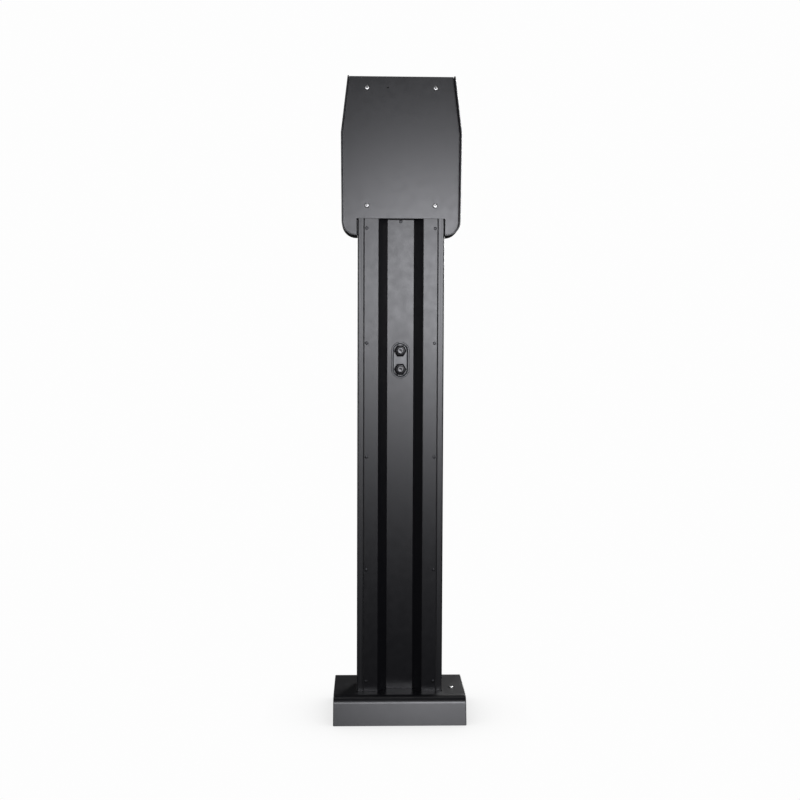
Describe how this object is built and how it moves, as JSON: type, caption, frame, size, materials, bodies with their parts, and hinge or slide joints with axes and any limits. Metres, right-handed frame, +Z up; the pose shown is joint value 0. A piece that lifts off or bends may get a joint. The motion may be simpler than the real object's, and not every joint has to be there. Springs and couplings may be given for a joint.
{
  "type": "ev charging post",
  "caption": "Free-standing charging post: folded foot cover, extruded column with recessed rear cover and cable outlet, tapered head with a charging unit, socket and lid.",
  "frame": {"origin": "on the ground, under the centre of the column", "axes": "+Z up, -Y to the front where the socket faces, +Y to the rear cover, +X to the right as seen from the front"},
  "size_m": [0.2886, 0.205, 1.4],
  "materials": {
    "black_coat": "fine-textured satin black powder coat",
    "graphite_coat": "satin anthracite powder coat",
    "anodised": "black anodised, fine extrusion lines",
    "galvanised": "galvanised, dull",
    "stainless": "turned and polished stainless",
    "zinc": "bright zinc plate",
    "black_screw": "black zinc plate",
    "brass": "turned brass",
    "housing_plastic": "fine spark-textured polycarbonate",
    "socket_plastic": "satin glass-filled nylon",
    "core_plastic": "satin grey insulating plastic",
    "gland_plastic": "moulded black nylon, slightly glossy",
    "cup_plastic": "glossy grey moulding",
    "seal_rubber": "matt black rubber",
    "cable_jacket": "satin rubber jacket",
    "light_guide": "frosted translucent light guide",
    "reader_gloss": "glossy black acrylic",
    "flap_clear": "smoked clear polycarbonate",
    "button_red": "glossy red moulding",
    "board_green": "solder-masked board",
    "device_grey": "light grey device moulding",
    "device_dark": "dark grey device moulding"
  },
  "bodies": {
    "post": {"base_plate": "galvanised", "foot_brackets": "galvanised", "foot_screws": "zinc", "base_cover": "graphite_coat", "cover_post": "zinc", "base_cover_screw": "stainless", "earth_stud": "brass", "column_body": "anodised", "column_cap": "housing_plastic", "cover_gaskets": "seal_rubber", "rear_cover": "black_coat", "rear_cover_screws": "black_screw", "outlet_cup": "cup_plastic", "gland_bodies": "gland_plastic", "gland_domes": "gland_plastic", "gland_plugs": "gland_plastic", "gland_locknuts": "gland_plastic", "supply_terminals": "device_grey", "riser_cable": "cable_jacket", "neck_bracket": "black_coat", "neck_screws": "zinc", "head_plate": "graphite_coat", "side_rims": "black_coat", "head_spacers": "zinc", "head_screws": "stainless", "unit_base": "housing_plastic", "unit_inserts": "brass", "unit_seal": "seal_rubber", "unit_cover": "housing_plastic", "lock_catch": "zinc", "lock_body": "stainless", "lock_nut": "zinc", "socket_shell": "socket_plastic", "socket_screws": "stainless", "socket_core": "core_plastic", "socket_contacts": "brass", "lid_pin": "stainless", "lid_spring": "stainless", "lock_actuator": "device_dark", "status_light": "light_guide", "led_board": "board_green", "reader_window": "reader_gloss", "reader_board": "board_green", "button_housing": "stainless", "button_spring": "stainless", "flap_pin": "stainless", "breaker": "device_grey", "contactor": "device_dark", "din_rail": "zinc", "unit_terminals": "device_grey", "controller_board": "board_green", "unit_gland": "gland_plastic"},
    "socket_lid": {"socket_lid": "socket_plastic", "lid_seal": "seal_rubber"},
    "stop_button": {"stop_button": "button_red"},
    "key_lock": {"lock_plug": "stainless", "lock_cam": "zinc"},
    "plug_lock": {"plug_lock_pin": "stainless"},
    "breaker_flap": {"breaker_flap": "flap_clear"},
    "breaker_toggle": {"breaker_toggle": "device_dark"}
  },
  "joints": [
    {"name": "socket_lid_hinge", "type": "hinge", "parent": "post", "child": "socket_lid", "pos_m": [0, -0.113, 1.237], "axis": [-1, 0, 0], "range_deg": [0, 105], "stiffness_Nm_per_rad": 0.02, "springref_deg": -34.38},
    {"name": "stop_button_slide", "type": "slide", "parent": "post", "child": "stop_button", "axis": [0, 1, 0], "range_m": [0, 0.004], "stiffness_N_per_m": 600, "springref_m": -0.002, "deforming": ["button_spring"]},
    {"name": "key_lock_turn", "type": "hinge", "parent": "post", "child": "key_lock", "pos_m": [0, -0.1, 1.122], "axis": [0, 1, 0], "range_deg": [0, 90]},
    {"name": "plug_lock_slide", "type": "slide", "parent": "post", "child": "plug_lock", "axis": [0, 0, -1], "range_m": [0, 0.005]},
    {"name": "breaker_flap_hinge", "type": "hinge", "parent": "post", "child": "breaker_flap", "pos_m": [-0.05, -0.11, 1.347], "axis": [-1, 0, 0], "range_deg": [0, 100]},
    {"name": "breaker_toggle_turn", "type": "hinge", "parent": "post", "child": "breaker_toggle", "pos_m": [-0.05, -0.069, 1.312], "axis": [1, 0, 0], "range_deg": [0, 40]}
  ]
}
